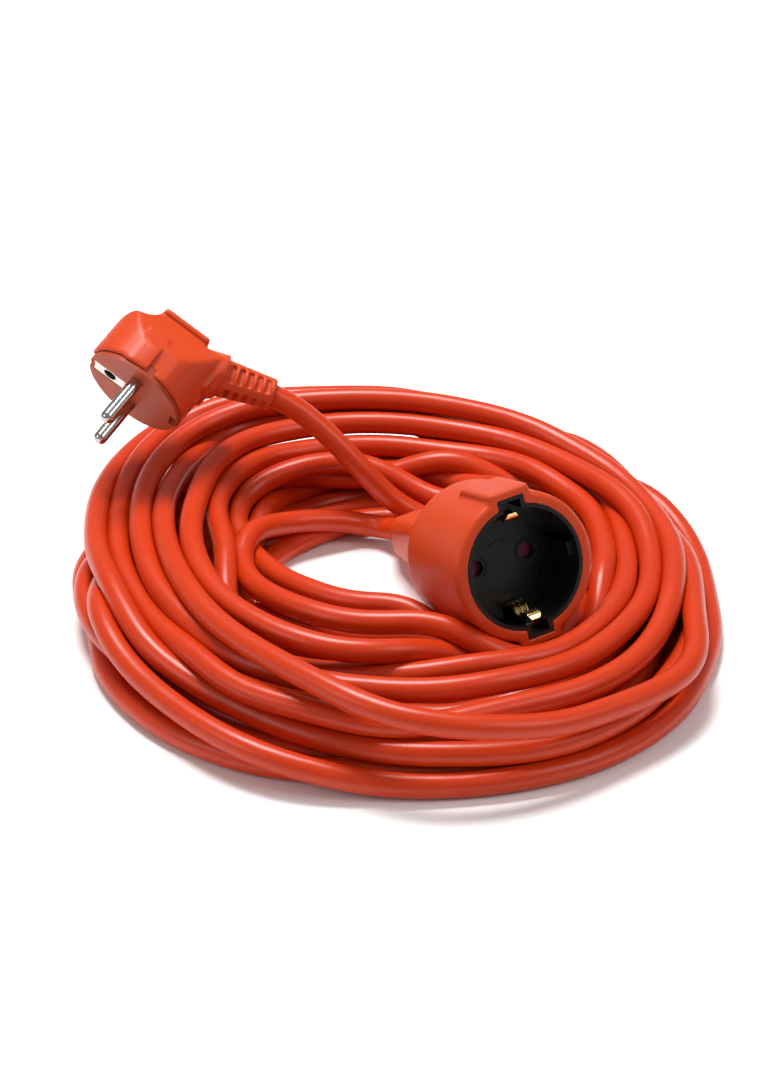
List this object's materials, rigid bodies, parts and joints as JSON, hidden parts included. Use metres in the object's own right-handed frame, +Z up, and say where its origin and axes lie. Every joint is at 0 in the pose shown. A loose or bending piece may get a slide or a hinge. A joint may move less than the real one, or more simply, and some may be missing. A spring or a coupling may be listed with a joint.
{
  "type": "extension cord",
  "caption": "Orange round extension cord in one loose coil, with an angled two-pin earthed plug and a round in-line socket with side earth clips.",
  "frame": {"origin": "centre of the coil at the surface it lies on", "axes": "+Z up; the coil lies in the XY plane; the socket faces -Y and +X, and the plug lies at -X +Y"},
  "size_m": [0.214, 0.214, 0.0851],
  "materials": {
    "orange_pvc": "satin",
    "orange_sheath": "semi-gloss",
    "dull_orange": "matt",
    "nickel_pins": "polished nickel",
    "nickel_strap": "polished nickel",
    "black_insert": "satin",
    "black_carrier": "matt",
    "maroon_shutter": "satin",
    "steel_wire": "drawn wire",
    "brass_contacts": "stamped",
    "brass_clips": "polished",
    "brown_core": "satin",
    "blue_core": "satin",
    "green_yellow_core": "satin",
    "bare_copper": "bare copper"
  },
  "bodies": {
    "cord_and_ends": {"plug_overmould": "orange_pvc", "plug_pin_carrier": "dull_orange", "plug_pin_live": "nickel_pins", "plug_pin_neutral": "nickel_pins", "plug_earth_contact": "nickel_strap", "plug_strain_relief": "orange_pvc", "coupler_shell": "orange_pvc", "coupler_insert": "black_insert", "shutter_spring": "steel_wire", "coupler_contact_carrier": "black_carrier", "coupler_live_contact": "brass_contacts", "coupler_neutral_contact": "brass_contacts", "earth_bridge": "brass_clips", "coupler_strain_relief": "orange_pvc", "core_brown": "brown_core", "core_blue": "blue_core", "core_green_yellow": "green_yellow_core", "copper_strands": "bare_copper", "cord_coil": "orange_sheath", "cord_plug_lead": "orange_sheath", "cord_coupler_lead": "orange_sheath"},
    "shutter": {"coupler_shutter": "maroon_shutter"},
    "upper_clip": {"earth_clip_upper": "brass_clips"},
    "lower_clip": {"earth_clip_lower": "brass_clips"}
  },
  "joints": [
    {"name": "shutter_turn", "type": "hinge", "parent": "cord_and_ends", "child": "shutter", "pos_m": [0.0337, -0.0171, 0.03382], "axis": [0.4228, -0.8363, 0.3491], "range_deg": [0, 42], "stiffness_Nm_per_rad": 0.004},
    {"name": "upper_clip_flex", "type": "hinge", "parent": "cord_and_ends", "child": "upper_clip", "pos_m": [0.02326, 0.00007, 0.04635], "axis": [-0.8761, -0.4757, -0.0785], "range_deg": [0, 2.5], "stiffness_Nm_per_rad": 1.5},
    {"name": "lower_clip_flex", "type": "hinge", "parent": "cord_and_ends", "child": "lower_clip", "pos_m": [0.03197, -0.01019, 0.01124], "axis": [0.8761, 0.4757, 0.0785], "range_deg": [0, 2.5], "stiffness_Nm_per_rad": 1.5}
  ]
}
